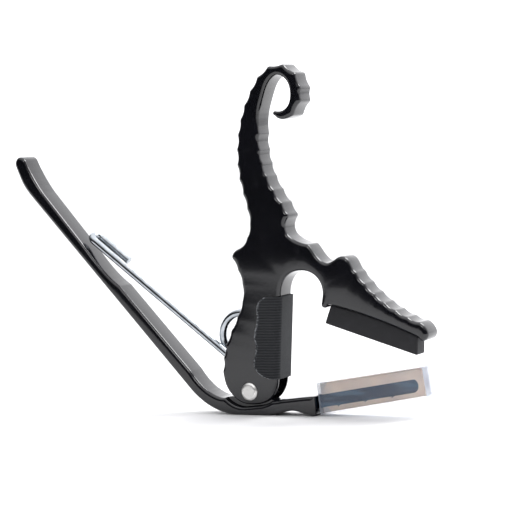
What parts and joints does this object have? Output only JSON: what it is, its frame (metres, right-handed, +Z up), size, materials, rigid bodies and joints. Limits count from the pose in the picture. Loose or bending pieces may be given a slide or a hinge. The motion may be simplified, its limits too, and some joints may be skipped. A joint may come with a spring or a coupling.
{
  "type": "spring capo",
  "caption": "Spring-loaded trigger capo with curled ribbed handle, long thumb lever, torsion spring, straight string pad and clear neck boot.",
  "frame": {"origin": "centre of the bounding box, on the surface that the belly and the shoulder of the lever rest on", "axes": "+X from the thumb lever towards the jaws, +Y across the width of the castings, +Z up along the body from the pivot to the curled handle"},
  "size_m": [0.1676, 0.012, 0.1263],
  "materials": {
    "coated_casting": "gloss black powder coat on cast aluminium",
    "rivet_steel": "bright nickel-plated steel",
    "spring_wire": "bright plated spring wire",
    "pad_rubber": "matte moulded rubber",
    "clear_vinyl": "clear soft vinyl",
    "woven_tape": "ribbed woven tape",
    "adhesive": "thin adhesive film"
  },
  "bodies": {
    "frame": {"body": "coated_casting", "pivot_rivet": "rivet_steel", "spring_coil": "spring_wire", "string_pad": "pad_rubber", "pad_adhesive": "adhesive", "grip_tape": "woven_tape", "tape_adhesive": "adhesive"},
    "thumb_lever": {"lever": "coated_casting", "neck_boot": "clear_vinyl"},
    "spring_arm": {"spring_arm": "spring_wire"}
  },
  "joints": [
    {"name": "lever_pivot", "type": "hinge", "parent": "frame", "child": "thumb_lever", "pos_m": [0.01261, 0, 0.00865], "axis": [0, 1, 0], "range_deg": [0, 25], "stiffness_Nm_per_rad": 0.6, "springref_deg": -34.38},
    {"name": "spring_arm_turn", "type": "hinge", "parent": "frame", "child": "spring_arm", "pos_m": [0.00841, 0, 0.02825], "axis": [0, 1, 0], "range_deg": [0, 32.2], "deforming": ["spring_coil"]}
  ],
  "couplings": [
    {"joint": "spring_arm_turn", "follows": "lever_pivot", "ratio": 1.283}
  ]
}
